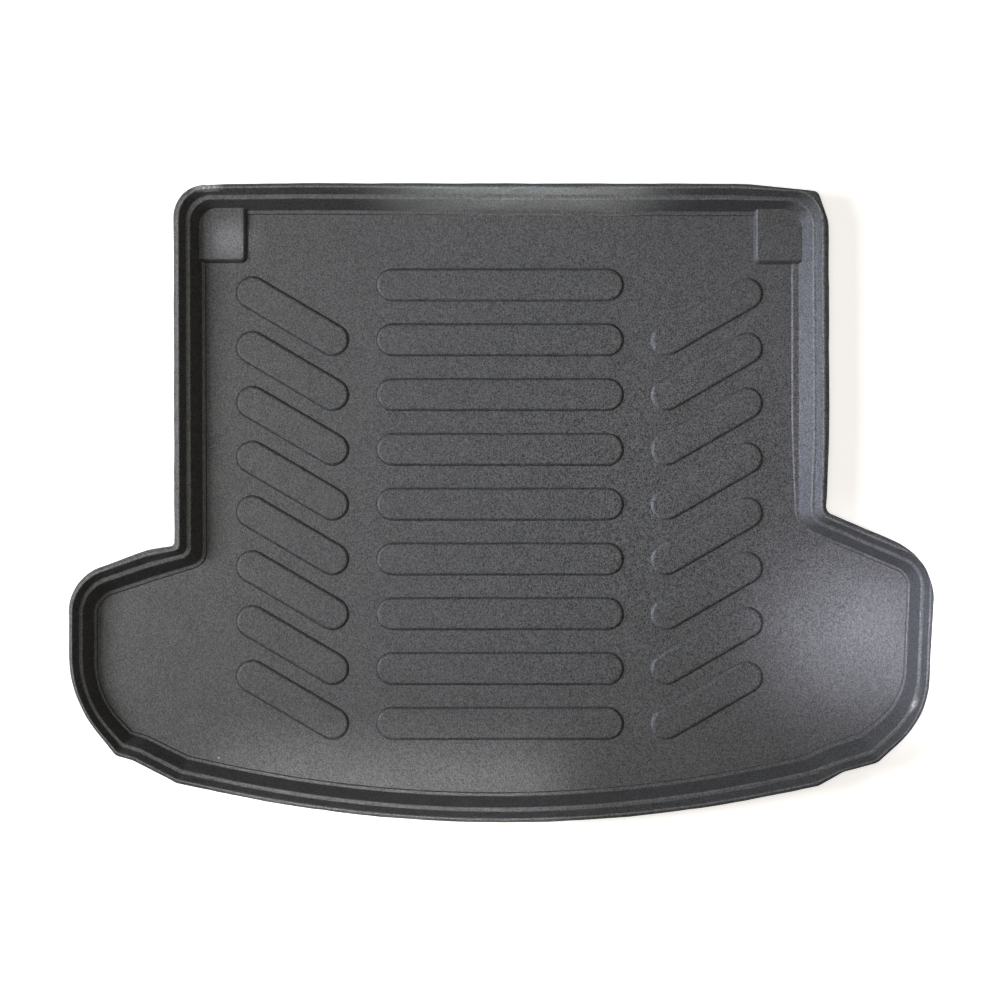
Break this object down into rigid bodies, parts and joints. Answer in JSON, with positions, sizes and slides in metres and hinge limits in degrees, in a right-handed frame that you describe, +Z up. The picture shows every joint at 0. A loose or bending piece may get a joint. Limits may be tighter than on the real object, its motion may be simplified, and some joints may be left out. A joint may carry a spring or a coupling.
{
  "type": "car boot liner",
  "caption": "Moulded plastic boot tray with a stepped all-round rim, wings behind the wheel arches, raised corner platforms and rows of raised floor pads.",
  "frame": {"origin": "middle of the plan's bounding box, on the underside of the floor", "axes": "+X towards the right side of the boot seen from above with the rear seats at the top, +Y towards the rear seats, +Z up out of the tray"},
  "size_m": [1.298, 0.96, 0.0485],
  "materials": {
    "formed_sheet": "fine-grained black polyethylene"
  },
  "bodies": {
    "root": {"boot_liner": "formed_sheet"}
  },
  "joints": []
}
